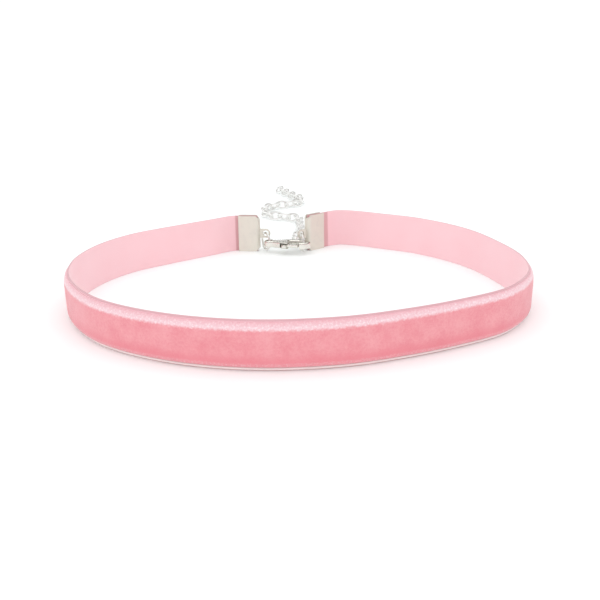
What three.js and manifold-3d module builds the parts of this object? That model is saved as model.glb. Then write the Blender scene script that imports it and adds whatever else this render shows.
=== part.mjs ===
import * as THREE from "three";
import * as BufferGeometryUtils from "three/addons/utils/BufferGeometryUtils.js";
import Module from "manifold-3d";

// A velvet ribbon choker. It stands on the lower edge of its ribbon, fastened at the
// back (+Y) by a lobster clasp, with its extension chain lying on the surface behind.
// Sizes are in millimetres. The origin is at the bottom centre of the whole piece.

const wasm = await Module();
wasm.setup();

// Ribbon
const ribbonWidth = 10;
const backing = 0.45;
const pileDepth = 0.95;
const pinchedPile = 0.15;
const pinchRun = 2;
const lean = 0.3;
const loopRadius = 50;
const ribbonStations = 110;

// Crimps, one folded plate on each ribbon end
const crimpLength = 6;
const plate = 0.4;
const lipBend = 0.15;
const lipRun = 0.8;
const cornerCut = 1.1;
const tabThickness = 0.5;
const tabRadius = 1.25;
const tabHole = 0.85;
const tabReach = 1.6;

// Jump rings
const ringRadius = 2.25;
const ringWire = 0.8;

// Lobster clasp
const claspLength = 13.2;
const claspWidth = 5.2;
const claspThickness = 1.9;
const claspRounding = 0.3;
const claspEyeRadius = 1.45;
const claspEyeHole = 0.9;
const hookWall = 0.95;
const mouthLength = 5.4;
const mouthWidth = 2.8;
const neckAngle = 0.35;
const leverThickness = 0.9;
const leverHub = 0.85;
const leverNub = 1.28;
const leverTip = 0.15;
const pinRadius = 0.4;
const pinPlay = 0.12;

// Extension chain
const linkLength = 5.2;
const linkWidth = 3.5;
const linkWire = 0.85;
const linkTilt = THREE.MathUtils.degToRad(45);
const tiltFade = 0.6;
const heightFade = 0.45;

// Clearance between pieces that touch on the real necklace, and under the resting links
const gap = 0.3;
const restGap = 0.02;

// Fineness of the round shapes
const wireSides = 6;
const ringSegments = 16;
const linkSegments = 12;
const rodSides = 12;
const outlinePoints = 30;
const curveDivisions = 2000;

// Bearings of the clasp parts in plan, in degrees from +X
const rightCrimpBearing = 40;
const leftCrimpBearing = 174;
const rightRingBearing = -75;
const leftRingBearing = -62;
const claspBearing = -13;

// Where the right crimp's eye stands, as shares of the loop's radius from its centre
const rightEye = { across: 0.03, back: 0.822 };

// Route of the ribbon's middle, from the left crimp round the front to the right one
const ribbonRoute = [
  { bearing: 120, radius: 0.9 },
  { bearing: 130, radius: 0.887 },
  { bearing: 141, radius: 0.902 },
  { bearing: 151, radius: 0.938 },
  { bearing: 161, radius: 0.966 },
  { bearing: 172, radius: 0.99 },
  { bearing: -174, radius: 1.014 },
  { bearing: -158, radius: 1.028 },
  { bearing: -138, radius: 1.034 },
  { bearing: -118, radius: 1.012 },
  { bearing: -99, radius: 0.992 },
  { bearing: -80, radius: 0.974 },
  { bearing: -65, radius: 0.967 },
  { bearing: -50, radius: 0.993 },
  { bearing: -36, radius: 1.044 },
  { bearing: -21, radius: 1.055 },
  { bearing: -7, radius: 1.027 },
  { bearing: 8, radius: 0.99 },
  { bearing: 28, radius: 0.987 },
  { bearing: 48, radius: 0.992 },
  { bearing: 62, radius: 0.99 },
  { bearing: 70, radius: 1.01 },
  { bearing: 76, radius: 1.012 },
];

// Route of the chain on the surface, in millimetres from where it leaves its jump ring
const chainRoute = [
  { across: -0.15, back: 0 },
  { across: -1.6, back: 6 },
  { across: 0.6, back: 14 },
  { across: 0.2, back: 24 },
  { across: 0.1, back: 33 },
  { across: -1, back: 37.2 },
  { across: -4.2, back: 39.8 },
  { across: -8, back: 41 },
  { across: -10.7, back: 44.2 },
  { across: -11.5, back: 49.5 },
  { across: -10, back: 55.8 },
  { across: -6, back: 60 },
  { across: -1.8, back: 61.8 },
  { across: 0.6, back: 65.5 },
  { across: 0.2, back: 71.5 },
  { across: -2.6, back: 78 },
  { across: -5.6, back: 86 },
  { across: -8.4, back: 93.5 },
];

// Velvet face of the ribbon's section, as shares of the pile's depth and of the width
const pileProfile = [
  { pile: 0, height: 0.07 },
  { pile: 0.85, height: 0.085 },
  { pile: 1, height: 0.13 },
  { pile: 1, height: 0.77 },
  { pile: 0.72, height: 0.9 },
  { pile: 0.25, height: 0.95 },
  { pile: 0, height: 0.955 },
];

// One side of the clasp's outline from its eye to its nose, as shares of length and width
const claspProfile = [
  { along: 0.2, side: 0.2 },
  { along: 0.3, side: 0.28 },
  { along: 0.43, side: 0.42 },
  { along: 0.57, side: 0.49 },
  { along: 0.71, side: 0.5 },
  { along: 0.84, side: 0.43 },
  { along: 0.94, side: 0.27 },
];

// Places inside the clasp, as shares of the mouth's length or width, or of the clasp's width
const hookSeat = 0.15;
const pivotSide = 0.22;
const gateCut = 0.3;
const gateShort = 0.34;
const fingerSide = 0.37;
const rimSide = 0.44;

// Values worked out from the sizes above
const core = backing + pinchedPile;
const bodyHalfGap = core / 2 + gap + lipBend;
const crimpHalf = bodyHalfGap + plate;
const mouthAt = tabReach + crimpLength;
const eyeHeight = ribbonWidth / 2;
const hookEnd = claspLength - claspEyeRadius;
const mouthEnd = hookEnd - hookWall;
const mouthCentre = mouthEnd - mouthLength / 2;
const hookReach = mouthEnd - ringWire / 2 - 2.5 * gap;
const hookSide = hookSeat * mouthWidth;
const claspHeight = eyeHeight - tabRadius - gap - claspThickness / 2;
const ringHeight = eyeHeight - ringRadius;
const linkBend = (linkWidth - linkWire) / 2;
const linkStretch = (linkLength - linkWidth) / 2;
const linkPitch = linkLength - 2 * linkWire - gap;
const restHeight = linkBend * Math.sin(linkTilt) + linkWire / 2 + restGap;

const metal = new THREE.MeshStandardMaterial({ color: 0xd9d5cc, roughness: 0.28, metalness: 1 });
const velvet = new THREE.MeshStandardMaterial({ color: 0xf2a0a8, roughness: 0.9, metalness: 0 });

function bearingVector(degrees) {
  const angle = THREE.MathUtils.degToRad(degrees);
  return new THREE.Vector2(Math.cos(angle), Math.sin(angle));
}

function toSolid(geometry) {
  const bare = geometry.clone();
  bare.deleteAttribute("normal");
  bare.deleteAttribute("uv");
  const merged = BufferGeometryUtils.mergeVertices(bare, 1e-5);
  const mesh = new wasm.Mesh({
    numProp: 3,
    vertProperties: new Float32Array(merged.attributes.position.array),
    triVerts: new Uint32Array(merged.index.array),
  });
  return new wasm.Manifold(mesh);
}

function toGeometry(solid) {
  const mesh = solid.getMesh();
  const geometry = new THREE.BufferGeometry();
  geometry.setAttribute("position", new THREE.BufferAttribute(mesh.vertProperties, 3));
  geometry.setIndex(new THREE.BufferAttribute(mesh.triVerts, 1));
  geometry.computeVertexNormals();
  return geometry;
}

// Joins equal rings of points into one closed skin, with a flat cap on each end
function loft(rings, capOutline) {
  const count = capOutline.length;
  const positions = rings.flat().flatMap((point) => point.toArray());
  const faces = [];
  for (let ring = 0; ring + 1 < rings.length; ring++) {
    for (let side = 0; side < count; side++) {
      const next = (side + 1) % count;
      const near = ring * count;
      const far = near + count;
      faces.push(near + side, far + next, near + next);
      faces.push(near + side, far + side, far + next);
    }
  }
  const last = (rings.length - 1) * count;
  for (const [a, b, c] of THREE.ShapeUtils.triangulateShape(capOutline, [])) {
    faces.push(a, b, c);
    faces.push(last + a, last + c, last + b);
  }
  const geometry = new THREE.BufferGeometry();
  geometry.setAttribute("position", new THREE.Float32BufferAttribute(positions, 3));
  geometry.setIndex(faces);
  geometry.computeVertexNormals();
  return geometry;
}

function named(name, geometry, material) {
  const mesh = new THREE.Mesh(geometry, material);
  mesh.name = name;
  return mesh;
}

// A flat shape made into a slab centred on its own plane, with cut edges if rounding is given
function slab(shape, thickness, rounding = 0, curveSegments = 8) {
  const geometry = new THREE.ExtrudeGeometry(shape, {
    depth: thickness - 2 * rounding,
    bevelEnabled: rounding > 0,
    bevelSize: rounding,
    bevelThickness: rounding,
    bevelOffset: -rounding,
    bevelSegments: 1,
    curveSegments,
  });
  geometry.translate(0, 0, rounding - thickness / 2);
  return geometry;
}

// Places of the clasp parts in plan, worked out from the right crimp's eye
function fastening() {
  const rightEyePlace = new THREE.Vector2(rightEye.across, rightEye.back).multiplyScalar(loopRadius);
  const rightRing = bearingVector(rightRingBearing);
  const leftRing = bearingVector(leftRingBearing);
  const foot = ringHeight - claspHeight + claspThickness / 2;
  const swing = (ringRadius + Math.sqrt(ringRadius ** 2 - foot ** 2)) / 2;
  const claspEye = rightEyePlace.clone().addScaledVector(rightRing, swing);
  claspEye.addScaledVector(bearingVector(claspBearing), -hookReach);
  claspEye.addScaledVector(bearingVector(claspBearing + 90), -hookSide);
  const leftEyePlace = claspEye.clone().addScaledVector(leftRing, -swing);
  const chainStart = rightEyePlace.clone().addScaledVector(rightRing, -ringRadius);
  return { rightEyePlace, leftEyePlace, claspEye, chainStart };
}

// Points on the ribbon's middle line, straight inside each crimp
function ribbonCurve(places) {
  const inner = tabReach + plate + gap;
  const stops = [inner, (inner + mouthAt) / 2, mouthAt, mouthAt + pinchRun / 2];
  const alongCrimp = (eye, bearing) =>
    stops.map((reach) => eye.clone().addScaledVector(bearingVector(bearing), reach));
  const left = alongCrimp(places.leftEyePlace, leftCrimpBearing);
  const right = alongCrimp(places.rightEyePlace, rightCrimpBearing).reverse();
  const middle = ribbonRoute.map((stop) =>
    bearingVector(stop.bearing).multiplyScalar(stop.radius * loopRadius));
  const points = [...left, ...middle, ...right];
  const curve = new THREE.CatmullRomCurve3(points.map((p) => new THREE.Vector3(p.x, p.y, 0)));
  curve.arcLengthDivisions = curveDivisions;
  return curve;
}

function ribbonSection(pile) {
  const face = backing - core / 2;
  const velvetFace = pileProfile.map((row) =>
    new THREE.Vector2(face + pile * row.pile, row.height * ribbonWidth));
  return [
    new THREE.Vector2(-core / 2, 0),
    new THREE.Vector2(face, 0),
    ...velvetFace,
    new THREE.Vector2(face, ribbonWidth),
    new THREE.Vector2(-core / 2, ribbonWidth),
  ];
}

function ribbonGeometry(places) {
  const curve = ribbonCurve(places);
  const length = curve.getLength();
  const pinchedRun = mouthAt - tabReach - plate - gap;
  const rings = [];
  for (let station = 0; station <= ribbonStations; station++) {
    const share = station / ribbonStations;
    const centre = curve.getPointAt(share);
    const along = curve.getTangentAt(share);
    const fromEnd = length * Math.min(share, 1 - share);
    const opened = THREE.MathUtils.smoothstep(fromEnd, pinchedRun + gap, pinchedRun + gap + pinchRun);
    const section = ribbonSection(THREE.MathUtils.lerp(pinchedPile, pileDepth, opened));
    rings.push(section.map((p) => {
      const out = p.x + lean * opened * (p.y / ribbonWidth);
      return new THREE.Vector3(centre.x + along.y * out, centre.y - along.x * out, p.y);
    }));
  }
  return loft(rings, ribbonSection(pileDepth));
}

// A crimp is its folded plan cut to its side outline. Local +X runs towards the ribbon.
function crimpGeometry() {
  const fold = tabReach + crimpHalf;
  const plan = new THREE.Shape();
  plan.moveTo(-tabRadius, -tabThickness / 2);
  plan.lineTo(tabReach + plate / 2, -tabThickness / 2);
  plan.absarc(fold, 0, crimpHalf, Math.PI + Math.asin(tabThickness / 2 / crimpHalf), 1.5 * Math.PI);
  plan.lineTo(mouthAt - lipRun, -crimpHalf);
  plan.lineTo(mouthAt, -crimpHalf + lipBend);
  plan.lineTo(mouthAt, -bodyHalfGap + lipBend);
  plan.lineTo(mouthAt - lipRun, -bodyHalfGap);
  plan.absarc(fold, 0, bodyHalfGap, 1.5 * Math.PI, 0.5 * Math.PI, true);
  plan.lineTo(mouthAt - lipRun, bodyHalfGap);
  plan.lineTo(mouthAt, bodyHalfGap - lipBend);
  plan.lineTo(mouthAt, crimpHalf - lipBend);
  plan.lineTo(mouthAt - lipRun, crimpHalf);
  plan.absarc(fold, 0, crimpHalf, 0.5 * Math.PI, Math.PI - Math.asin(tabThickness / 2 / crimpHalf));
  plan.lineTo(tabReach + plate / 2, tabThickness / 2);
  plan.lineTo(-tabRadius, tabThickness / 2);
  const folded = slab(plan, ribbonWidth);
  folded.translate(0, 0, eyeHeight);

  const half = ribbonWidth / 2;
  const side = new THREE.Shape();
  side.moveTo(mouthAt, -half);
  side.lineTo(mouthAt, half);
  side.lineTo(tabReach + cornerCut, half);
  side.lineTo(tabReach, half - cornerCut);
  side.lineTo(tabReach, tabRadius);
  side.absarc(0, 0, tabRadius, 0.5 * Math.PI, 1.5 * Math.PI);
  side.lineTo(tabReach, -tabRadius);
  side.lineTo(tabReach, cornerCut - half);
  side.lineTo(tabReach + cornerCut, -half);
  const hole = new THREE.Path();
  hole.absarc(0, 0, tabHole, 0, 2 * Math.PI);
  side.holes.push(hole);
  const cutter = slab(side, 4 * crimpHalf);
  cutter.rotateX(Math.PI / 2);
  cutter.translate(0, 0, eyeHeight);
  return toGeometry(toSolid(folded).intersect(toSolid(cutter)));
}

function jumpRingGeometry() {
  const geometry = new THREE.TorusGeometry(ringRadius, ringWire / 2, wireSides, ringSegments);
  geometry.rotateX(Math.PI / 2);
  return geometry;
}

// The pivot of the lever and the ends of its gate, along and across the clasp
function leverPlaces() {
  const mouthStart = mouthCentre - mouthLength / 2;
  const pivot = new THREE.Vector2(mouthStart - leverHub + leverTip / 2, -pivotSide * claspWidth);
  const gateStart = pivot.x + leverHub + gap;
  const gateEnd = mouthEnd - gateShort * mouthLength;
  return { pivot, gateStart, gateEnd };
}

function box(lowX, highX, lowY, highY, thickness) {
  const geometry = new THREE.BoxGeometry(highX - lowX, highY - lowY, thickness);
  geometry.translate((lowX + highX) / 2, (lowY + highY) / 2, 0);
  return toSolid(geometry);
}

// A round rod across the clasp's thickness
function rod(x, y, radius, length) {
  const geometry = new THREE.CylinderGeometry(radius, radius, length, rodSides);
  geometry.rotateX(Math.PI / 2);
  geometry.translate(x, y, 0);
  return geometry;
}

function claspBodyGeometry() {
  const at = (row, side) =>
    new THREE.Vector2(row.along * claspLength - claspEyeRadius, side * row.side * claspWidth);
  const outline = new THREE.SplineCurve([
    ...claspProfile.map((row) => at(row, -1)),
    new THREE.Vector2(hookEnd, 0),
    ...claspProfile.map((row) => at(row, 1)).reverse(),
  ]);
  const neck = Math.atan2(claspProfile[0].side * claspWidth, claspProfile[0].along * claspLength);
  const body = new THREE.Shape();
  body.absarc(0, 0, claspEyeRadius, neck + neckAngle, 2 * Math.PI - neck - neckAngle);
  outline.getPoints(outlinePoints).forEach((point) => body.lineTo(point.x, point.y));
  const mouth = new THREE.Path();
  mouth.absellipse(mouthCentre, 0, mouthLength / 2, mouthWidth / 2, 0, 2 * Math.PI);
  body.holes.push(mouth);

  const { pivot, gateStart, gateEnd } = leverPlaces();
  const slot = leverThickness + pinPlay * 2;
  const hubRoom = leverHub + gap;
  const solid = toSolid(slab(body, claspThickness, claspRounding, 6))
    .subtract(toSolid(rod(0, 0, claspEyeHole, 2 * claspThickness)))
    .subtract(box(gateStart, gateEnd, -claspWidth, -gateCut * mouthWidth, 2 * claspThickness))
    .subtract(box(pivot.x - hubRoom, gateStart + gap, -claspWidth, pivot.y + hubRoom, slot))
    .subtract(toSolid(rod(pivot.x, pivot.y, pinRadius + pinPlay, 2 * claspThickness)));
  return toGeometry(solid);
}

// The sprung gate: a hub on the pin, a finger under the hook's tip and a thumb nub
function leverGeometry() {
  const { pivot, gateEnd } = leverPlaces();
  const tip = gateEnd + gap;
  const under = -fingerSide * mouthWidth;
  const rim = -rimSide * claspWidth;
  const lever = new THREE.Shape();
  lever.absarc(pivot.x, pivot.y, leverHub, 0.5 * Math.PI, 1.25 * Math.PI);
  lever.lineTo(pivot.x - leverNub / 3, rim - leverNub * 2 / 3);
  lever.lineTo(pivot.x, rim - leverNub);
  lever.lineTo(pivot.x + leverHub, rim - leverNub * 0.85);
  lever.lineTo(pivot.x + leverHub + gap, rim);
  lever.lineTo(mouthCentre, rim - leverTip);
  lever.lineTo(gateEnd - gap, rim + 2 * leverTip);
  lever.lineTo(gateEnd - gap, under - leverTip);
  lever.lineTo(tip, under);
  lever.lineTo(tip + leverTip, under + 2 * leverTip);
  lever.lineTo(tip, under + 4 * leverTip);
  const bore = new THREE.Path();
  bore.absarc(pivot.x, pivot.y, pinRadius + pinPlay, 0, 2 * Math.PI);
  lever.holes.push(bore);
  return slab(lever, leverThickness);
}

function clasp(places) {
  const group = new THREE.Group();
  group.position.set(places.claspEye.x, places.claspEye.y, claspHeight);
  group.rotation.z = THREE.MathUtils.degToRad(claspBearing);
  group.add(named("clasp_body", claspBodyGeometry(), metal));
  group.add(named("clasp_lever", leverGeometry(), metal));
  const { pivot } = leverPlaces();
  group.add(named("clasp_pin", rod(pivot.x, pivot.y, pinRadius, claspThickness), metal));
  return group;
}

// An oval wire link: a round ring whose two halves are moved apart
function linkGeometry() {
  const geometry = new THREE.TorusGeometry(linkBend, linkWire / 2, wireSides, linkSegments);
  geometry.rotateZ(Math.PI / linkSegments);
  const position = geometry.attributes.position;
  for (let i = 0; i < position.count; i++) {
    const x = position.getX(i);
    position.setX(i, x + Math.sign(x) * linkStretch);
  }
  return geometry;
}

// Links follow the route a pitch apart, each tilted the other way from the one before
function chain(places) {
  const group = new THREE.Group();
  const start = places.chainStart;
  const firstBack = ringWire / 2 + gap + linkWire / 2;
  const route = chainRoute.map((stop) =>
    new THREE.Vector3(start.x + stop.across, start.y + stop.back, 0));
  const curve = new THREE.CatmullRomCurve3(route);
  curve.arcLengthDivisions = curveDivisions;
  const length = curve.getLength();
  const lead = linkLength / 2 - linkWire / 2 - linkPitch / 2 - firstBack;
  const count = Math.floor((length - lead) / linkPitch);
  const drop = ringHeight - restHeight;
  const joint = (k) => {
    const reach = lead + k * linkPitch;
    const along = curve.getPointAt(Math.max(reach, 0) / length);
    const back = curve.getTangentAt(0).multiplyScalar(Math.min(reach, 0));
    return along.add(back).setZ(restHeight + drop * heightFade ** k);
  };
  for (let k = 0; k < count; k++) {
    const from = joint(k);
    const to = joint(k + 1);
    const forward = to.clone().sub(from).normalize();
    const level = new THREE.Vector3(-forward.y, forward.x, 0).normalize();
    const up = new THREE.Vector3().crossVectors(forward, level);
    const roll = (k % 2 ? 1 : -1) * linkTilt + linkTilt * tiltFade ** k;
    const link = named(`chain_link_${String(k + 1).padStart(2, "0")}`, linkGeometry(), metal);
    const across = level.multiplyScalar(Math.cos(roll)).addScaledVector(up, Math.sin(roll));
    const normal = new THREE.Vector3().crossVectors(forward, across);
    link.quaternion.setFromRotationMatrix(new THREE.Matrix4().makeBasis(forward, across, normal));
    link.position.copy(from).add(to).multiplyScalar(0.5);
    group.add(link);
  }
  return group;
}

function placedOn(place, degrees, height, mesh) {
  mesh.position.set(place.x, place.y, height);
  mesh.rotation.z = THREE.MathUtils.degToRad(degrees);
  return mesh;
}

const places = fastening();
const choker = new THREE.Group();
choker.add(named("velvet_ribbon", ribbonGeometry(places), velvet));
choker.add(placedOn(places.leftEyePlace, leftCrimpBearing, 0, named("crimp_left", crimpGeometry(), metal)));
choker.add(placedOn(places.rightEyePlace, rightCrimpBearing, 0, named("crimp_right", crimpGeometry(), metal)));
choker.add(placedOn(places.leftEyePlace, leftRingBearing, ringHeight,
  named("jump_ring_left", jumpRingGeometry(), metal)));
choker.add(placedOn(places.rightEyePlace, rightRingBearing, ringHeight,
  named("jump_ring_right", jumpRingGeometry(), metal)));
choker.add(clasp(places));
choker.add(chain(places));

// The whole piece is moved so that the origin lies at the bottom centre of its box
const whole = new THREE.Group();
whole.add(choker);
whole.updateMatrixWorld(true);
const bounds = new THREE.Box3().setFromObject(whole, true);
choker.position.set(
  -(bounds.min.x + bounds.max.x) / 2,
  -(bounds.min.y + bounds.max.y) / 2,
  -bounds.min.z,
);

export default whole;
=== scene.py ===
# %% [markdown]
# # A velvet ribbon choker
# The necklace is a 10 mm velvet ribbon that stands on its edge. Two folded metal crimps
# bite its ends, and a small lobster clasp joins them, with an extension chain behind.
# The solid model comes in first. It fixes every size and place, and this lesson then
# gives each piece a finer skin and its finish, without moving anything.

import bisect
import math

import bmesh
import bpy
from mathutils import Matrix, Vector, noise


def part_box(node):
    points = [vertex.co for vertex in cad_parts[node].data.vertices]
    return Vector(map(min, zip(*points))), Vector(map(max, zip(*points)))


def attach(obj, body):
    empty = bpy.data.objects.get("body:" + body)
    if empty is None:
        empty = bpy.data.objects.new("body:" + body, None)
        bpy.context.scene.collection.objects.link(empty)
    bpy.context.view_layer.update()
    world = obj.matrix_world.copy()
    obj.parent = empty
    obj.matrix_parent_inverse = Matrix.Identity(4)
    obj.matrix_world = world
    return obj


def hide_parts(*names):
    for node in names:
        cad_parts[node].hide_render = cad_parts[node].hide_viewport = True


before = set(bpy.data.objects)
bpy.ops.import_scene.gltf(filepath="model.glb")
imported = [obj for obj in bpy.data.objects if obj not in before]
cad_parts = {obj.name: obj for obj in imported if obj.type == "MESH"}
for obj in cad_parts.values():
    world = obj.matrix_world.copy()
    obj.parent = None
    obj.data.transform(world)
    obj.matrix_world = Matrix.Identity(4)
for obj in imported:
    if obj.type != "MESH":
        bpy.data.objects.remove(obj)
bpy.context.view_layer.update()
mm = 0.001

# %% [markdown]
# ## The camera
# The photo was taken close up, from a low angle and a little to one side. Its lens, tilt
# and distance can be solved from the ribbon's two edges, because both are 10 mm apart all
# round the loop. A camera set by eye would bend the loop wrongly, so the solved one is used.

# %% Place the camera
ribbon_low, ribbon_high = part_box("velvet_ribbon")
ribbon_middle = (ribbon_low + ribbon_high) / 2
camera_side = 0.6 * mm
camera_back = 200.35 * mm
camera_height = 59.87 * mm
pitch_down = math.radians(17.05)
roll = math.radians(-0.776)
focal_share = 1.4785

camera = bpy.data.objects.new("camera", bpy.data.cameras.new("camera"))
bpy.context.scene.collection.objects.link(camera)
camera.data.sensor_width = 36
camera.data.lens = focal_share * camera.data.sensor_width
camera.data.clip_start = 1 * mm
stand = Vector((ribbon_middle.x + camera_side, ribbon_middle.y - camera_back, camera_height))
tilt = Matrix.Rotation(math.pi / 2 - pitch_down, 4, "X")
camera.matrix_world = Matrix.Translation(stand) @ tilt @ Matrix.Rotation(roll, 4, "Z")
bpy.context.scene.camera = camera
bpy.context.scene.view_settings.view_transform = "Standard"
print("camera", round(camera.data.lens, 2), "mm lens")

# %% [markdown]
# ## The studio
# The photo is high key: the surface and the background are both burnt out to white, and
# only a faint pink shade lies at the foot of the ribbon. A bright even sky gives that.
# A softbox overhead lifts the top of the pile, and a smaller one in front fills its face.

# %% Light the set
sky_strength = 1.06
world = bpy.data.worlds.new("studio")
world.use_nodes = True
sky = world.node_tree.nodes["Background"]
sky.inputs["Color"].default_value = (1.0, 1.0, 1.0, 1.0)
sky.inputs["Strength"].default_value = sky_strength
bpy.context.scene.world = world


def softbox(name, place, aim, size, power):
    """A square area light at place, turned to face aim."""
    light = bpy.data.lights.new(name, "AREA")
    light.size = size
    light.energy = power
    holder = bpy.data.objects.new(name, light)
    holder.location = place
    holder.rotation_euler = (aim - place).to_track_quat("-Z", "Y").to_euler()
    bpy.context.scene.collection.objects.link(holder)


softbox("overhead_softbox", Vector((0.0, -0.10, 0.55)), ribbon_middle, size=0.5, power=0.3)
softbox("front_fill", Vector((-0.25, -0.6, 0.3)), ribbon_middle, size=0.4, power=0.2)
print("lights", len(bpy.data.lights))

# %% [markdown]
# ## Shader sums
# A material's pattern is a sum of small maps. Written as Math nodes one by one it can't be
# read, so a small class stands for a socket and lets Python's own signs add the nodes.
# Colours don't go through Math, which would turn them grey, but through Mix.

# %% Wrap sockets for shader sums
class Wire:
    """One output socket. Sums of wires and numbers add Math nodes to its material."""

    def __init__(self, paint, socket):
        self.paint = paint
        self.socket = socket

    def sum(self, operation, first, second):
        return self.paint.add("ShaderNodeMath", {"operation": operation}, {0: first, 1: second})

    def __add__(self, other):
        return self.sum("ADD", self, other)

    def __sub__(self, other):
        return self.sum("SUBTRACT", self, other)

    def __rsub__(self, other):
        return self.sum("SUBTRACT", other, self)

    def __mul__(self, other):
        return self.sum("MULTIPLY", self, other)

    __radd__ = __add__
    __rmul__ = __mul__

    def sine(self):
        return self.paint.add("ShaderNodeMath", {"operation": "SINE"}, {0: self})

    def ramp(self, low, high):
        """0 below low, 1 above high, and smooth between them."""
        settings = {"interpolation_type": "SMOOTHSTEP"}
        return self.paint.add("ShaderNodeMapRange", settings, {0: self, 1: low, 2: high})


class Paint:
    """A material that is being mixed."""

    def __init__(self, name):
        self.material = bpy.data.materials.new(name)
        self.material.use_nodes = True
        self.nodes = self.material.node_tree.nodes
        self.shader = self.nodes["Principled BSDF"]

    def add(self, kind, settings, values, output=0):
        """A node of that kind: its settings first, then what its sockets hold or take."""
        node = self.nodes.new(kind)
        for setting, value in settings.items():
            setattr(node, setting, value)
        for key, value in values.items():
            self.plug(node.inputs[key], value)
        return Wire(self, node.outputs[output])

    def plug(self, socket, value):
        if isinstance(value, Wire):
            self.material.node_tree.links.new(value.socket, socket)
        else:
            socket.default_value = value

    def set(self, **values):
        """Plugs numbers or wires into the shader, by socket names with _ for a space."""
        for key, value in values.items():
            self.plug(self.shader.inputs[key.replace("_", " ")], value)

    def run(self):
        """The piece's UV map: the way along it, the way round it, and both as a spot."""
        spot = self.add("ShaderNodeTexCoord", {}, {}, "UV")
        split = self.nodes.new("ShaderNodeSeparateXYZ")
        self.plug(split.inputs[0], spot)
        return Wire(self, split.outputs[0]), Wire(self, split.outputs[1]), spot

    def place(self):
        """The point's own place on the piece, in metres."""
        return self.add("ShaderNodeTexCoord", {}, {}, "Object")

    def grain(self, spot, scale, detail=2.0, roughness=0.5):
        """Soft noise from 0 to 1, with scale spots to a metre."""
        values = {"Vector": spot, "Scale": scale, "Detail": detail, "Roughness": roughness}
        return self.add("ShaderNodeTexNoise", {}, values)

    def stretch(self, spot, scale):
        """The spot scaled along each axis, which draws a pattern out where scale is small."""
        return self.add("ShaderNodeMapping", {}, {"Vector": spot, "Scale": scale})

    def blend(self, share, first, second):
        """A colour between two: first where share is 0, second where it is 1."""
        values = {0: share, 6: first, 7: second}
        return self.add("ShaderNodeMix", {"data_type": "RGBA"}, values, 2)

    def bump(self, height, depth):
        values = {"Height": height, "Distance": depth, "Strength": 1.0}
        return self.add("ShaderNodeBump", {}, values, "Normal")


print("shader helpers ready")

# %% [markdown]
# ## The surface
# The surface is a plain matt white sheet. It is made large enough that its far edge
# is lost in the bright background. It glows very faintly, as a lit table does, which keeps
# the pink shade at the ribbon's foot as thin as the photo shows it. A touch less red in it
# keeps that shade from looking hotter than the velvet that casts it.

# %% Lay the surface
floor_reach = 6.0
floor_glow = 0.09
sheet = bmesh.new()
bmesh.ops.create_grid(sheet, x_segments=1, y_segments=1, size=floor_reach)
floor_mesh = bpy.data.meshes.new("surface")
sheet.to_mesh(floor_mesh)
sheet.free()
surface = bpy.data.objects.new("surface", floor_mesh)
bpy.context.scene.collection.objects.link(surface)
white = Paint("matt_white")
white.set(
    Base_Color=(0.912, 0.94, 0.938, 1.0), Roughness=0.7, Emission_Color=(1.0, 1.0, 1.0, 1.0),
    Emission_Strength=floor_glow,
)
floor_mesh.materials.append(white.material)
print("surface", 2 * floor_reach, "m across")

# %% [markdown]
# ## Something for the metal to mirror
# Polished metal shows nothing but what it mirrors, and in an all white studio it goes flat
# and pale. Photographers hang dark cloth beside it. Here a hoop of dark cloth hangs round
# the set. Only reflections see it, so it darkens nothing else, and it draws the dark
# strokes that round metal has in the photo.

# %% Hang the dark hoop
hoop_radius = 0.45
hoop_low = 0.13
hoop_high = 0.42
hoop = bmesh.new()
bmesh.ops.create_circle(hoop, cap_ends=False, segments=64, radius=hoop_radius)
hoop.transform(Matrix.Translation((0, ribbon_middle.y, hoop_low)))
wall = bmesh.ops.extrude_edge_only(hoop, edges=hoop.edges)
raised = [part for part in wall["geom"] if isinstance(part, bmesh.types.BMVert)]
bmesh.ops.translate(hoop, verts=raised, vec=(0, 0, hoop_high - hoop_low))
hoop_mesh = bpy.data.meshes.new("dark_hoop")
hoop.to_mesh(hoop_mesh)
hoop.free()
dark_hoop = bpy.data.objects.new("dark_hoop", hoop_mesh)
bpy.context.scene.collection.objects.link(dark_hoop)
dark = Paint("dark_cloth")
dark.set(Base_Color=(0.09, 0.075, 0.06, 1.0), Roughness=1.0)
hoop_mesh.materials.append(dark.material)
dark_hoop.visible_camera = False
dark_hoop.visible_diffuse = False
dark_hoop.visible_shadow = False
print("dark hoop", 2 * hoop_radius, "m across")

# %% [markdown]
# ## The ribbon's line
# The new skins follow the solid ribbon exactly. Its four long corners are read from
# the solid: each is a row of points that can be put in order by its bearing round the loop,
# counted from the front. A smooth curve through them gives as many stations as needed.

# %% Read the ribbon's corners
def merged_copy(node):
    """A copy of a solid's mesh with its loose triangles joined up."""
    shape = bmesh.new()
    shape.from_mesh(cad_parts[node].data)
    bmesh.ops.remove_doubles(shape, verts=shape.verts, dist=0.001 * mm)
    shape.normal_update()
    return shape


def from_front(point):
    return math.atan2(point.x - ribbon_middle.x, ribbon_middle.y - point.y)


def corner_row(shape, level, outward):
    """The corner points at that height, on the inner or the outer side, in order."""
    row = []
    for vertex in shape.verts:
        away = (vertex.co - ribbon_middle).to_2d()
        if abs(vertex.co.z - level) < 0.01 * mm and (vertex.normal.to_2d().dot(away) > 0) == outward:
            row.append(vertex.co.copy())
    return sorted(row, key=from_front)


solid_ribbon = merged_copy("velvet_ribbon")
corners = {}
for level_name, level in (("foot", ribbon_low.z), ("top", ribbon_high.z)):
    for side_name, outward in (("inner", False), ("outer", True)):
        corners[level_name, side_name] = corner_row(solid_ribbon, level, outward)
solid_ribbon.free()
print("corner points", {key: len(row) for key, row in corners.items()})

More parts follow.
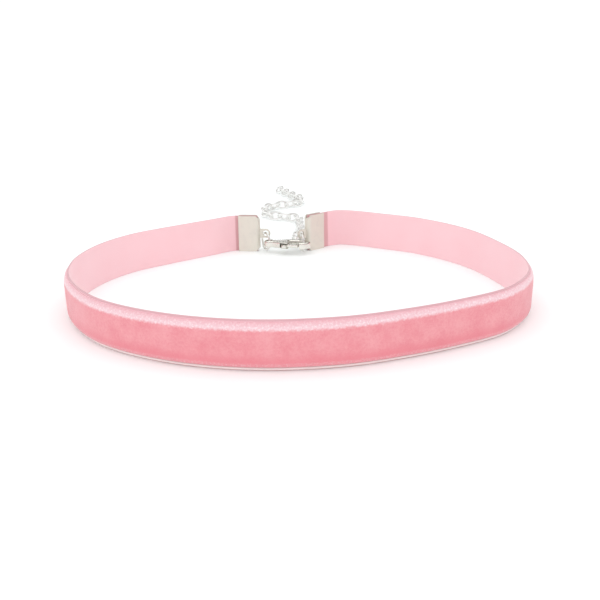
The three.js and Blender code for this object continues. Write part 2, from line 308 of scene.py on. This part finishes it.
# %% [markdown]
# ## Walking along the line
# A point on the ribbon is named by three numbers: its share of the length, its height and
# its depth out from the inner face. One function turns them into a place, and every part
# of the ribbon is shaped through it.

# %% Make the walk
def spline(row, share):
    """A point on the smooth curve through a row of points, at that share of its way."""
    reach = share * (len(row) - 1)
    start = min(int(reach), len(row) - 2)
    t = reach - start
    before = row[max(start - 1, 0)]
    a, b = row[start], row[start + 1]
    after = row[min(start + 2, len(row) - 1)]
    pull_a = (b - before) / 2
    pull_b = (after - a) / 2
    h = t * t * (3 - 2 * t)
    return a.lerp(b, h) + pull_a * (t * (1 - t) ** 2) - pull_b * (t * t * (1 - t))


ribbon_height = ribbon_high.z - ribbon_low.z
inner_foot = corners["foot", "inner"]
reached = [0.0]
for a, b in zip(inner_foot, inner_foot[1:]):
    reached.append(reached[-1] + (b - a).length)
ribbon_length = reached[-1]


def row_share(share):
    """Turns a share of the ribbon's length into a share of the corner rows' steps."""
    goal = share * ribbon_length
    step = min(bisect.bisect_right(reached, goal), len(reached) - 1) - 1
    part = (goal - reached[step]) / (reached[step + 1] - reached[step])
    return (step + part) / (len(reached) - 1)


def station(share):
    """Inner foot, inner top and the outward direction at a share of the ribbon's length."""
    share = row_share(share)
    foot = spline(corners["foot", "inner"], share)
    top = spline(corners["top", "inner"], share)
    out = spline(corners["foot", "outer"], share) - foot
    return foot, top, out.normalized()


def smooth_step(value, low, high):
    t = min(max((value - low) / (high - low), 0.0), 1.0)
    return t * t * (3 - 2 * t)


crimp_mouth = 5.3 * mm
print("ribbon length", round(ribbon_length / mm, 1), "mm")

# %% [markdown]
# ## Velvet
# Velvet is a pile of cut threads that all lean one way. Where they bend over, along the top
# of this ribbon, they catch the light from above, and that sheen is painted into the colour
# as an uneven, speckled pale band. Below it the colour is deeper and only slightly clouded,
# with painted shade towards the foot and a paler, flecked fringe just above the pile's lower
# edge. Beside the crimps' mouths the pile is darkened with painted shade. The map follows
# the ribbon's own length and height, so the band runs true all the way round, a little
# narrower on the right side.

# %% Mix the velvet
pile_pink = (0.87, 0.385, 0.42, 1.0)
deep_pink = (0.80, 0.265, 0.305, 1.0)
# painted shade: the pile is darker and deeper red towards its foot, away from the light above
foot_shade_pink = (0.80, 0.24, 0.285, 1.0)
# painted shade in the crease beside each crimp's mouth
mouth_shade_pink = (0.66, 0.33, 0.35, 1.0)
# painted sheen: the pale, flecked band where the bent-over pile catches the light from above; its
# middle colour also tints the paler fringe above the pile's lower edge
sheen_pink = (0.82, 0.46, 0.51, 1.0)
sheen_and_fringe_pink = (0.88, 0.60, 0.65, 1.0)
sheen_fleck_pink = (0.96, 0.80, 0.83, 1.0)

band_low = 7.75 * mm
band_high = 8.45 * mm
ragged = 1.1 * mm
narrowing = 0.28 * mm
narrows_from = 0.48 * ribbon_length
narrows_to = 0.62 * ribbon_length
flecked = 1.1 * mm
foot_low = 1.8 * mm
foot_high = 4.0 * mm
foot_share = 0.7
fringe_low = 1.45 * mm
fringe_high = 1.95 * mm

left_crease = 0.7 * mm
right_crease = 1.9 * mm
crease_fade = 0.4 * mm

tuft_scale = 5200.0
fleck_scale = 2600.0
nap_scale = 1900.0
ragged_scale = 1500.0
cloud_scale = 260.0
tuft_depth = 0.10 * mm


def mouth_shade(along):
    """1 beside the crimps' mouths, where painted shade darkens the crease, and 0 all along the rest.
    """
    start = crimp_mouth + left_crease
    end = ribbon_length - crimp_mouth - right_crease
    left = along.ramp(start, start + crease_fade)
    right = along.ramp(end - crease_fade, end)
    return 1.0 - left * (1.0 - right)


velvet = Paint("velvet_pile")
along, height, spot = velvet.run()
tufts = velvet.grain(spot, tuft_scale, 2.0)
clouds = velvet.grain(spot, cloud_scale, 3.0)
narrowed = along.ramp(narrows_from, narrows_to) * narrowing
edge = height - narrowed + (velvet.grain(spot, ragged_scale, 4.0, 0.6) - 0.5) * ragged
band = edge.ramp(band_low, band_high)
flecks = velvet.grain(spot, fleck_scale, 3.0, 0.65).ramp(0.46, 0.68)
nap = velvet.grain(spot, nap_scale, 3.0, 0.6)
cloudy = (clouds * 0.6 + nap * 0.5 + tufts * 0.3).ramp(0.45, 0.95)
body = velvet.blend(cloudy, deep_pink, pile_pink)
# painted shade towards the foot of the pile
body = velvet.blend((1.0 - height.ramp(foot_low, foot_high)) * foot_share, body, foot_shade_pink)
fringe = (1.0 - height.ramp(fringe_low, fringe_high)) * (flecks * 0.5 + 0.12)
body = velvet.blend(fringe, body, sheen_and_fringe_pink)
# painted sheen: the pale band along the top, flecked and palest towards its lower edge
lower_band = 1.0 - edge.ramp(band_high, band_high + flecked)
top = velvet.blend(lower_band, sheen_pink, sheen_and_fringe_pink)
top = velvet.blend(flecks * (lower_band * 0.75 + 0.25), top, sheen_fleck_pink)
colour = velvet.blend(band, body, top)
# the colour is darkened with painted shade beside each crimp's mouth
velvet.set(
    Base_Color=velvet.blend(mouth_shade(along) * 0.75, colour, mouth_shade_pink),
    Roughness=0.95,
    Normal=velvet.bump(tufts, tuft_depth),
    Sheen_Weight=0.55,
    Sheen_Roughness=0.45,
    Sheen_Tint=(1.0, 0.86, 0.88, 1.0),
    Specular_IOR_Level=0.15,
)
print("velvet", len(velvet.nodes), "nodes")

# %% [markdown]
# ## The woven back
# The inside of the ribbon is a smooth satin weave in a paler pink. Its cross threads lie
# about a quarter of a millimetre apart, and both edges end in a tight selvedge. The map
# runs right round the section: up the inner face, over the top and down the outer side,
# so a thin darker line can follow the crest of the upper selvedge. Past the crest, in the
# crease behind the pile's top, the colour is lightened with painted light. The lower
# selvedge is pale, partly its own colour and partly painted light against the pile's
# shadow, with a thin painted contact shadow near the floor and painted shade in the dark
# crease where it meets the pile. Beside the crimps' mouths the satin is darkened with
# painted shade. Each tint has its zone on that map, counted up the inner face: past the
# ribbon's height or under 0 is the outer side.

# %% Mix the satin
satin_pink = (0.94, 0.56, 0.60, 1.0)
satin_light = (0.965, 0.68, 0.72, 1.0)
# painted light: lightens the crease behind the pile's top, past the crest
lightened_rim_pink = (0.97, 0.62, 0.68, 1.0)
crest_pink = (0.72, 0.41, 0.45, 1.0)
# the pale lower selvedge: its own paler colour, made paler still with painted light against the shadow
# of the pile above it
foot_rim_pink = (1.0, 0.88, 0.87, 1.0)
# painted shadow: the dark contact line near the floor
contact_shadow_pink = (0.52, 0.31, 0.31, 1.0)
# painted shade in the crease where the pile meets the back
crease_shade_pink = (0.50, 0.24, 0.26, 1.0)
thread_pitch = 0.26 * mm
weave_depth = 0.03 * mm
turns = 2 * math.pi

rim_zone = (ribbon_height - 0.16 * mm, ribbon_height + 0.02 * mm)
past_crest_zone = (ribbon_height + 0.30 * mm, ribbon_height + 0.46 * mm)
foot_zone = (-0.12 * mm, 0.02 * mm)
# where the painted contact shadow lies
contact_shadow_zone = (-0.30 * mm, -0.15 * mm)
under_pile_zone = (-0.72 * mm, -0.58 * mm)

satin = Paint("satin_back")
along, height, spot = satin.run()
cross_threads = (along * (turns / thread_pitch)).sine()
long_threads = (height * (turns / (0.8 * thread_pitch))).sine()
weave = (cross_threads + 1.0) * (long_threads + 1.0) * 0.25
shade = satin.grain(spot, 90.0, 2.0)
face = satin.blend(shade * 0.7 + weave * 0.25, satin_pink, satin_light)
over_top = height.ramp(*rim_zone)
# painted light in the crease behind the pile's top
face = satin.blend(over_top, face, lightened_rim_pink)
face = satin.blend(over_top * (1.0 - height.ramp(*past_crest_zone)), face, crest_pink)
under_foot = 1.0 - height.ramp(*foot_zone)
# pale lower selvedge, partly its own colour and partly painted light
face = satin.blend(under_foot, face, foot_rim_pink)
# painted contact shadow, a dark line near the floor
face = satin.blend(under_foot * height.ramp(*contact_shadow_zone), face, contact_shadow_pink)
# painted shade in the crease under the pile's lower edge
face = satin.blend(1.0 - height.ramp(*under_pile_zone), face, crease_shade_pink)
# painted shade beside each crimp's mouth darkens the satin too
satin.set(
    Base_Color=satin.blend(mouth_shade(along) * 0.7, face, mouth_shade_pink),
    Roughness=0.5 - weave * 0.12,
    Normal=satin.bump(weave, weave_depth),
    Sheen_Weight=0.2,
    Sheen_Roughness=0.4,
)
print("satin", len(satin.nodes), "nodes")

# %% [markdown]
# ## Strips from a grid
# A strip could be lofted face by face, but a flat grid already has its faces and its map.
# So a grid is made, bent round the section and along the line, and its two long sides
# are then merged. The map is scaled to metres, so that a pattern keeps its real pitch.

# %% Bend grids into strips
def piece_from(name, shape, paint, body, *nodes):
    """Turns a shape into a named piece that rides on a body in place of solid nodes."""
    mesh = bpy.data.meshes.new(name)
    shape.to_mesh(mesh)
    shape.free()
    mesh.materials.append(paint.material)
    mesh.shade_smooth()
    piece = bpy.data.objects.new(name, mesh)
    bpy.context.scene.collection.objects.link(piece)
    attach(piece, body)
    if nodes:
        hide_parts(*nodes)
    return piece


def wrapped_strip(stations, rows, place, map_point):
    """A closed strip: place gives a grid point's spot, map_point its spot on the map."""
    shape = bmesh.new()
    run = shape.loops.layers.uv.new("run")
    bmesh.ops.create_grid(shape, x_segments=stations, y_segments=rows, size=0.5, calc_uvs=True)
    for face in shape.faces:
        for corner in face.loops:
            corner[run].uv = map_point(corner.vert.co.x + 0.5, corner.vert.co.y + 0.5)
    cache = {}
    for vertex in shape.verts:
        share = round(vertex.co.x + 0.5, 6)
        if share not in cache:
            cache[share] = station(share)
        vertex.co = place(share, round(vertex.co.y + 0.5, 6), *cache[share])
    bmesh.ops.remove_doubles(shape, verts=shape.verts, dist=0.002 * mm)
    rims = [edge for edge in shape.edges if edge.is_boundary]
    bmesh.ops.holes_fill(shape, edges=rims, sides=0)
    bmesh.ops.recalc_face_normals(shape, faces=shape.faces)
    return shape


print("strip helpers ready")

# %% [markdown]
# ## The ribbon's back
# The back is woven as one flat band, a little thicker at its two selvedges. A stiff bead
# of thread runs along the outside of the lower one and catches the light. The band is
# pinched just before each crimp, where the folded plate presses it flat.

# %% Build the ribbon's back
back_thickness = 0.42 * mm
selvedge_swell = 0.07 * mm
selvedge_height = 0.35 * mm
foot_bead = 0.20 * mm
bead_height = 0.42 * mm
bead_spread = 0.22 * mm
pinch_depth = 0.16 * mm
pinch_width = 0.8 * mm
back_stations = 440
back_rows = 64
side_power = 0.35
rise_power = 0.8


def back_outline(share):
    """A point on the back's section, a flat oval: its depth and its rise from the middle."""
    angle = turns * share
    side = math.copysign(abs(math.cos(angle)) ** side_power, math.cos(angle))
    rise = math.copysign(abs(math.sin(angle)) ** rise_power, math.sin(angle))
    return side * back_thickness / 2, rise * ribbon_height / 2


def end_distance(share):
    return min(share, 1 - share) * ribbon_length


def back_place(share, round_share, foot, top, out):
    depth, rise = back_outline(round_share)
    level = rise / ribbon_height + 0.5
    rim = min(level, 1 - level) * ribbon_height
    swell = selvedge_swell * math.exp(-((rim - selvedge_height) / selvedge_height) ** 2)
    depth *= 1 + 2 * swell / back_thickness
    if depth > 0:
        depth += foot_bead * math.exp(-((level * ribbon_height - bead_height) / bead_spread) ** 2)
    past_mouth = (end_distance(share) - crimp_mouth - pinch_width) / pinch_width
    pinch = pinch_depth * math.exp(-past_mouth ** 2)
    spot = foot.lerp(top, level)
    return spot + out * (back_thickness / 2 + depth + pinch * (0.5 - depth / back_thickness))


def back_map(share, round_share):
    height = back_outline(round_share)[1] + ribbon_height / 2
    if round_share < 0.25:
        height = 2 * ribbon_height - height
    if round_share > 0.75:
        height = -height
    return share * ribbon_length, height


back_shape = wrapped_strip(back_stations, back_rows, back_place, back_map)
print("ribbon back", len(back_shape.faces), "faces")
ribbon_back = piece_from("ribbon_back", back_shape, satin, "choker", "velvet_ribbon")

# %% [markdown]
# ## The pile
# The pile stands a millimetre proud of the back and stops short of both selvedges. Its
# lower edge is cut square and its upper one is brushed over. A fine unevenness in the mesh
# itself breaks up its outline, as the tufts do on the real ribbon.

# %% Build the pile
pile_depth = 0.93 * mm
pinched_pile = 0.13 * mm
pile_stations = 900
pile_rows = 44
tuft_size = 0.45 * mm
tuft_height = 0.045 * mm
fine_tuft = 0.4
opens_from = crimp_mouth + 0.3 * mm
opens_to = crimp_mouth + 2.3 * mm
pile_profile = (
    # share round the section, depth as a share of the pile, height as a share of the ribbon
    (0.00, -0.05, 0.500),
    (0.05, -0.05, 0.072),
    (0.09, 0.30, 0.080),
    (0.13, 0.72, 0.096),
    (0.17, 0.93, 0.124),
    (0.22, 1.00, 0.190),
    (0.55, 1.00, 0.730),
    (0.66, 0.90, 0.830),
    (0.76, 0.66, 0.905),
    (0.84, 0.32, 0.944),
    (0.90, 0.05, 0.953),
    (0.95, -0.05, 0.945),
    (1.00, -0.05, 0.500),
)


def profile_at(round_share):
    """Depth and height shares of the pile's section, between the rows of its table."""
    for low, high in zip(pile_profile, pile_profile[1:]):
        if round_share <= high[0]:
            t = (round_share - low[0]) / (high[0] - low[0])
            return low[1] + t * (high[1] - low[1]), low[2] + t * (high[2] - low[2])
    return pile_profile[-1][1:]


def pile_place(share, round_share, foot, top, out):
    depth, level = profile_at(round_share)
    opened = smooth_step(end_distance(share), opens_from, opens_to)
    pile = pinched_pile + (pile_depth - pinched_pile) * opened
    spot = foot.lerp(top, level) + out * (back_thickness + pile * depth)
    if depth <= 0:
        return spot
    rough = noise.noise(spot / tuft_size) + 0.5 * noise.noise(spot / (fine_tuft * tuft_size))
    return spot + out * (rough * tuft_height * opened)


def pile_map(share, round_share):
    return share * ribbon_length, profile_at(round_share)[1] * ribbon_height


pile_shape = wrapped_strip(pile_stations, pile_rows, pile_place, pile_map)
print("pile", len(pile_shape.faces), "faces")
velvet_pile = piece_from("velvet_pile", pile_shape, velvet, "choker", "velvet_ribbon")

# %% [markdown]
# ## Nickel
# The fittings are stamped or cast and then nickel plated. The plate is bright but not a
# mirror: tumbling leaves faint ripples and fine scratches, so the roughness wanders and
# a shallow bump breaks up the reflections. Nickel is a slightly warm white. The crimps are
# stamped from rolled strip, which keeps fine upright lines and a dull satin gloss, so they
# mirror less than the rest. The chain is plated brighter, almost like silver.

# %% Mix the nickel
nickel_white = (0.81, 0.795, 0.74, 1.0)
nickel_dull = (0.69, 0.67, 0.61, 1.0)
crimp_white = (0.75, 0.725, 0.645, 1.0)
wire_white = (0.95, 0.945, 0.92, 1.0)
chain_white = (0.97, 0.965, 0.95, 1.0)
line_stretch = 0.06
cast_scale = 700.0
scratch_scale = 4500.0
line_scale = 7000.0


def nickel_plate(name, colour, metallic, roughness, ripple, wear, rolled=0.0):
    """Nickel plate: colour, gloss, depth of ripple, duller spots and strength of lines."""
    paint = Paint(name)
    spot = paint.place()
    cast = paint.grain(spot, cast_scale, 2.0)
    fine = paint.grain(spot, scratch_scale, 3.0)
    uneven = fine * 0.12 + cast * 0.08
    relief = cast + fine * 0.15
    if rolled:
        drawn_out = paint.stretch(spot, (1.0, 1.0, line_stretch))
        lines = paint.grain(drawn_out, line_scale, 3.0, 0.6)
        uneven = uneven + lines * rolled
        relief = relief + lines * rolled
    paint.set(
        Base_Color=paint.blend(cast.ramp(0.45, 0.75) * wear, colour, nickel_dull),
        Metallic=metallic,
        Roughness=uneven + roughness,
        Normal=paint.bump(relief, ripple),
    )
    return paint


crimp_plate = nickel_plate(
    "nickel_crimp", crimp_white, metallic=0.35, roughness=0.22, ripple=0.05 * mm, wear=0.5, rolled=0.25
)
clasp_plate = nickel_plate(
    "nickel_clasp", nickel_white, metallic=1.0, roughness=0.14, ripple=0.05 * mm, wear=0.5
)
wire_plate = nickel_plate(
    "nickel_wire", wire_white, metallic=1.0, roughness=0.36, ripple=0.03 * mm, wear=0.25
)
chain_plate = nickel_plate(
    "silver_chain", chain_white, metallic=0.8, roughness=0.32, ripple=0.03 * mm, wear=0.1
)
print("plated finishes", 4)

# %% [markdown]
# ## Stamped crimps
# The crimps already have their true shapes in the solid model, but no real edge is that
# sharp, and it is the rounded edges that glint. So each is copied, its flat facets are
# joined, and its sharp edges get a small bevel. Weighted normals then keep the flats flat
# beside the round edges.

# %% Soften the crimps
sharp_angle = math.radians(24)
flat_angle = math.radians(1.5)
flat_weight = 60
crimp_edge = 0.09 * mm
rivet_edge = 0.06 * mm


def softened(node, name, paint, radius, steps):
    """A copy of a solid with rounded edges, as a piece in its place."""
    shape = merged_copy(node)
    bmesh.ops.dissolve_limit(
        shape, angle_limit=flat_angle, verts=shape.verts, edges=shape.edges,
        use_dissolve_boundaries=False,
    )
    sharp = [e for e in shape.edges if e.is_manifold and e.calc_face_angle() > sharp_angle]
    bmesh.ops.bevel(
        shape, geom=sharp, offset=radius, offset_type="OFFSET", segments=steps, profile=0.5,
        affect="EDGES", clamp_overlap=True, material=-1,
    )
    bmesh.ops.triangulate(shape, faces=[f for f in shape.faces if len(f.verts) > 4])
    bmesh.ops.recalc_face_normals(shape, faces=shape.faces)
    print(name, len(shape.faces), "faces,", len(sharp), "edges rounded")
    piece = piece_from(name, shape, paint, "choker", node)
    piece.modifiers.new("flat_flats", "WEIGHTED_NORMAL").weight = flat_weight


softened("crimp_left", "left_crimp", crimp_plate, crimp_edge, steps=3)
softened("crimp_right", "right_crimp", crimp_plate, crimp_edge, steps=3)
softened("clasp_pin", "clasp_rivet", clasp_plate, rivet_edge, steps=2)

# %% [markdown]
# ## The cast clasp
# The clasp's body and gate are cast and then tumbled among stones, which rounds every edge
# alike. A bevel only rounds edges one by one. Turning the shape into fine voxels and
# smoothing them wears the whole of it at once, corners and hollows too. Voxels under
# a tenth of a millimetre are too fine for the modifier, so the shape is scaled up for it.

# %% Tumble the clasp
voxel = 0.085
wearing = 16
wear_share = 0.5


def tumbled(node, name, body):
    """A copy of a solid with every edge worn round, as a piece in its place."""
    shape = merged_copy(node)
    shape.transform(Matrix.Scale(1 / mm, 4))
    mesh = bpy.data.meshes.new(name + "_rough")
    shape.to_mesh(mesh)
    shape.free()
    rough = bpy.data.objects.new(name + "_rough", mesh)
    bpy.context.scene.collection.objects.link(rough)
    grid = rough.modifiers.new("voxels", "REMESH")
    grid.mode = "VOXEL"
    grid.voxel_size = voxel
    wear = rough.modifiers.new("wear", "SMOOTH")
    wear.factor = wear_share
    wear.iterations = wearing
    worn = rough.evaluated_get(bpy.context.evaluated_depsgraph_get()).to_mesh()
    shape = bmesh.new()
    shape.from_mesh(worn)
    shape.transform(Matrix.Scale(mm, 4))
    bpy.data.objects.remove(rough)
    bpy.data.meshes.remove(mesh)
    print(name, len(shape.faces), "faces")
    piece = piece_from(name, shape, clasp_plate, body, node)


tumbled("clasp_body", "lobster_clasp", "choker")
tumbled("clasp_lever", "clasp_gate", "lever")

# %% [markdown]
# ## Wire rings and links
# Jump rings and chain links are round wire bent into shape. A circle spun about an axis is
# just that. Where each one lies is read from its solid: the spread of its points gives its
# middle, the way it is longest and the way it is thinnest.

# %% Find how a link lies
long_guess = Vector((1, 0.3, 0.1))
thin_guess = Vector((0.1, 0.3, 1))
settling = 60


def turned_to(matrix, guess):
    """The direction that a matrix stretches most, found by using it again and again."""
    for _ in range(settling):
        guess = (matrix @ guess).normalized()
    return guess


def lie_of(node):
    """Middle of a flat solid, its axes from longest to thinnest, and its half sizes."""
    points = [v.co.copy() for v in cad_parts[node].data.vertices]
    middle = sum(points, Vector()) / len(points)
    spread = Matrix(((0, 0, 0), (0, 0, 0), (0, 0, 0)))
    for point in points:
        away = (point - middle) / mm
        for row in range(3):
            spread[row] += away * away[row]
    long_way = turned_to(spread, long_guess)
    thin_way = turned_to(spread.inverted(), thin_guess)
    wide_way = thin_way.cross(long_way).normalized()
    ways = (long_way, wide_way, thin_way)
    halves = [max((p - middle).dot(way) for p in points) for way in ways]
    return middle, ways, halves


link_halves = lie_of("chain_link_09")[2]
print("a link is", [round(2 * half / mm, 2) for half in link_halves], "mm")

# %% [markdown]
# ## The chain
# Every link is a ring of wire whose two halves are drawn apart into an oval. They are drawn
# apart less near the middle of the long sides, so that the oval has no corners there. The
# wire is a little thinner than the solid link's, so neighbours stay clear of each other.

# %% Wind the links
wire_share = 0.94
wire_sides = 12
link_steps = 40
oval_power = 0.5


def wire_loop(bend, wire, steps, opening=0.0):
    """A ring of round wire in the flat, as a shape. opening is the angle left unclosed."""
    shape = bmesh.new()
    start = Matrix.Translation((bend, 0, 0)) @ Matrix.Rotation(math.pi / 2, 4, "X")
    made = bmesh.ops.create_circle(
        shape, cap_ends=False, segments=wire_sides, radius=wire, matrix=start
    )
    rim = list({edge for vertex in made["verts"] for edge in vertex.link_edges})
    bmesh.ops.spin(
        shape, geom=made["verts"] + rim, cent=(0, 0, 0), axis=(0, 0, 1), dvec=(0, 0, 0),
        angle=turns - opening, steps=steps, use_merge=opening == 0.0, use_normal_flip=False,
        use_duplicate=False,
    )
    if opening:
        open_rims = [edge for edge in shape.edges if edge.is_boundary]
        bmesh.ops.holes_fill(shape, edges=open_rims, sides=0)
    bmesh.ops.remove_doubles(shape, verts=shape.verts, dist=0.0005 * mm)
    bmesh.ops.recalc_face_normals(shape, faces=shape.faces)
    return shape


def laid(shape, middle, ways):
    """Turns a flat shape so that its own axes run along ways, and moves it to middle."""
    turn = Matrix(ways).transposed().to_4x4()
    shape.transform(Matrix.Translation(middle) @ turn)
    bmesh.ops.recalc_face_normals(shape, faces=shape.faces)
    return shape


link_nodes = sorted(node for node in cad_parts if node.startswith("chain_link_"))
for number, node in enumerate(link_nodes, 1):
    middle, ways, (half_long, half_wide, half_wire) = lie_of(node)
    bend = half_wide - half_wire
    link = wire_loop(bend, half_wire * wire_share, link_steps)
    for vertex in link.verts:
        ahead = vertex.co.to_2d().normalized().x
        vertex.co.x += (half_long - half_wide) * math.copysign(abs(ahead) ** oval_power, ahead)
    shape = laid(link, middle, ways)
    piece = piece_from(f"link_{number:02d}", shape, chain_plate, "choker", node)
print("links", len(link_nodes))

# %% [markdown]
# ## The jump rings
# A jump ring is cut from a coil and pressed shut, so it keeps a hair line where its
# ends meet. The ring is spun not quite all the way round, and both ends are closed.

# %% Close the jump rings
ring_steps = 44
ring_slit = math.radians(3)
slit_bearing = math.radians(35)


def jump_ring(node, name):
    """A round ring with its slit, as a piece in its solid's place."""
    middle, ways, halves = lie_of(node)
    thin_way = ways[2]
    level_way = Vector((0, 0, 1)).cross(thin_way).normalized()
    up_way = thin_way.cross(level_way)
    radius, wire = halves[0], halves[2]
    ring = wire_loop(radius - wire, wire * wire_share, ring_steps, ring_slit)
    ring.transform(Matrix.Rotation(slit_bearing, 4, "Z"))
    shape = laid(ring, middle, (level_way, up_way, thin_way))
    piece = piece_from(name, shape, wire_plate, "choker", node)
    print(name, "radius", round(radius / mm, 2), "mm")


jump_ring("jump_ring_left", "left_ring")
jump_ring("jump_ring_right", "right_ring")
